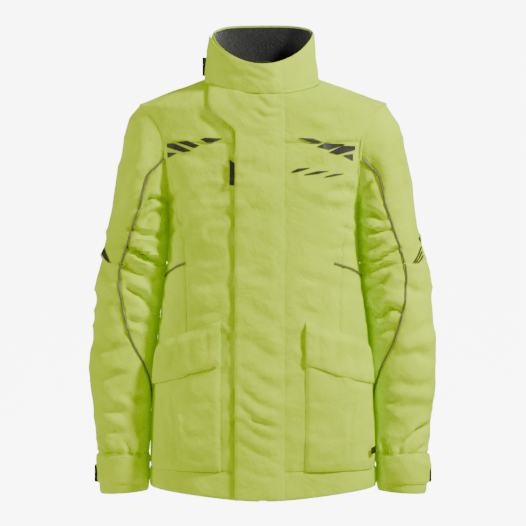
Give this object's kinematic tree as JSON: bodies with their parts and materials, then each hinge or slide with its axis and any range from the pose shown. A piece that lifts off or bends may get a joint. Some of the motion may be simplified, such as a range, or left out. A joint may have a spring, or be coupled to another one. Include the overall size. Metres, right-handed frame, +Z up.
{
  "type": "foul weather jacket",
  "caption": "Waterproof padded jacket with stand collar, storm flap over a front zip, bellows pockets with flaps and sleeves with cuff straps.",
  "frame": {"origin": "front face of the hanger loop at the nape, in the middle of its width", "axes": "+Z up, the jacket's front faces -Y, the wearer's left is +X"},
  "size_m": [0.6, 0.2642, 0.806],
  "materials": {
    "shell_fabric": "matt coated waterproof weave, padded",
    "fleece": "short pile fleece",
    "mesh_lining": "plain woven lining",
    "hook_and_loop": "hook and loop tape",
    "black_tape": "woven black tape and rubbery tabs",
    "reflective_piping": "grey reflective piping",
    "zip_tape": "woven zip tape",
    "zip_coil": "moulded zip teeth",
    "zip_metal": "die cast slider and pull"
  },
  "bodies": {
    "body": {"back_hem_band": "shell_fabric", "back_lining": "mesh_lining", "back_panel": "shell_fabric", "back_yoke": "shell_fabric", "collar_lining": "fleece", "collar_outer": "shell_fabric", "flap_loop_patch_1": "hook_and_loop", "flap_loop_patch_2": "hook_and_loop", "hanger_loop": "black_tape", "hem_flag_label": "black_tape", "left_front_hem_band": "shell_fabric", "left_front_lining": "mesh_lining", "left_front_panel": "shell_fabric", "left_front_yoke": "shell_fabric", "left_hip_piping": "reflective_piping", "left_pocket_bag": "shell_fabric", "left_side_front": "shell_fabric", "left_zip_coil": "zip_coil", "left_zip_tape": "zip_tape", "right_front_hem_band": "shell_fabric", "right_front_lining": "mesh_lining", "right_front_panel": "shell_fabric", "right_front_yoke": "shell_fabric", "right_hip_piping": "reflective_piping", "right_pocket_bag": "shell_fabric", "right_side_front": "shell_fabric", "right_zip_coil": "zip_coil", "right_zip_tape": "zip_tape", "zip_retainer_box": "zip_coil"},
    "storm_flap": {"storm_flap": "shell_fabric", "collar_flap": "shell_fabric", "flap_hook_patch_1": "hook_and_loop", "flap_hook_patch_2": "hook_and_loop", "flap_label": "black_tape", "collar_label": "black_tape"},
    "zip_slider": {"zip_slider": "zip_metal"},
    "zip_pull": {"zip_pull": "zip_metal"},
    "right_pocket_flap": {"right_pocket_flap": "shell_fabric"},
    "right_upper_sleeve": {"right_upper_sleeve_inner": "shell_fabric", "right_upper_sleeve_outer": "shell_fabric", "right_upper_sleeve_lining": "mesh_lining", "right_sleeve_piping": "reflective_piping"},
    "right_forearm": {"right_forearm_inner": "shell_fabric", "right_forearm_outer": "shell_fabric", "right_forearm_lining": "mesh_lining", "right_cuff_band": "shell_fabric"},
    "right_cuff_strap": {"right_cuff_strap": "shell_fabric", "right_cuff_label": "black_tape"},
    "left_pocket_flap": {"left_pocket_flap": "shell_fabric"},
    "left_upper_sleeve": {"left_upper_sleeve_inner": "shell_fabric", "left_upper_sleeve_outer": "shell_fabric", "left_upper_sleeve_lining": "mesh_lining", "left_sleeve_piping": "reflective_piping"},
    "left_forearm": {"left_forearm_inner": "shell_fabric", "left_forearm_outer": "shell_fabric", "left_forearm_lining": "mesh_lining", "left_cuff_band": "shell_fabric"},
    "left_cuff_strap": {"left_cuff_strap": "shell_fabric", "left_cuff_label": "black_tape"}
  },
  "joints": [
    {"name": "storm_flap_open", "type": "hinge", "parent": "body", "child": "storm_flap", "pos_m": [0.0362, -0.19522, -0.73635], "axis": [0.0011, 0.0755, 0.9971], "range_deg": [0, 80]},
    {"name": "main_zip_slide", "type": "slide", "parent": "body", "child": "zip_slider", "axis": [0, -0.0671, -0.9977], "range_m": [0, 0.7]},
    {"name": "zip_pull_swing", "type": "hinge", "parent": "zip_slider", "child": "zip_pull", "pos_m": [0, -0.14571, -0.00239], "axis": [-1, 0, 0], "range_deg": [0, 2.5]},
    {"name": "right_pocket_flap_lift", "type": "hinge", "parent": "body", "child": "right_pocket_flap", "pos_m": [-0.14196, -0.14429, -0.44892], "axis": [-0.8178, 0.5292, -0.2261], "range_deg": [0, 25]},
    {"name": "right_sleeve_swing", "type": "hinge", "parent": "body", "child": "right_upper_sleeve", "pos_m": [-0.211, -0.05732, -0.0648], "axis": [0, 1, 0], "range_deg": [0, 40]},
    {"name": "right_elbow_bend", "type": "hinge", "parent": "right_upper_sleeve", "child": "right_forearm", "pos_m": [-0.25169, -0.10081, -0.33531], "axis": [-0.9063, 0.4226, 0], "range_deg": [0, 40]},
    {"name": "right_cuff_strap_open", "type": "hinge", "parent": "right_forearm", "child": "right_cuff_strap", "pos_m": [-0.21035, -0.10194, -0.71139], "axis": [0.0182, 0.039, 0.9991], "range_deg": [0, 70]},
    {"name": "left_pocket_flap_lift", "type": "hinge", "parent": "body", "child": "left_pocket_flap", "pos_m": [0.14196, -0.14429, -0.44892], "axis": [-0.8178, -0.5292, 0.2261], "range_deg": [0, 25]},
    {"name": "left_sleeve_swing", "type": "hinge", "parent": "body", "child": "left_upper_sleeve", "pos_m": [0.211, -0.05732, -0.0648], "axis": [0, -1, 0], "range_deg": [0, 40]},
    {"name": "left_elbow_bend", "type": "hinge", "parent": "left_upper_sleeve", "child": "left_forearm", "pos_m": [0.25169, -0.10081, -0.33531], "axis": [-0.9063, -0.4226, 0], "range_deg": [0, 40]},
    {"name": "left_cuff_strap_open", "type": "hinge", "parent": "left_forearm", "child": "left_cuff_strap", "pos_m": [0.21035, -0.10194, -0.71139], "axis": [0.0182, -0.039, -0.9991], "range_deg": [0, 70]}
  ]
}
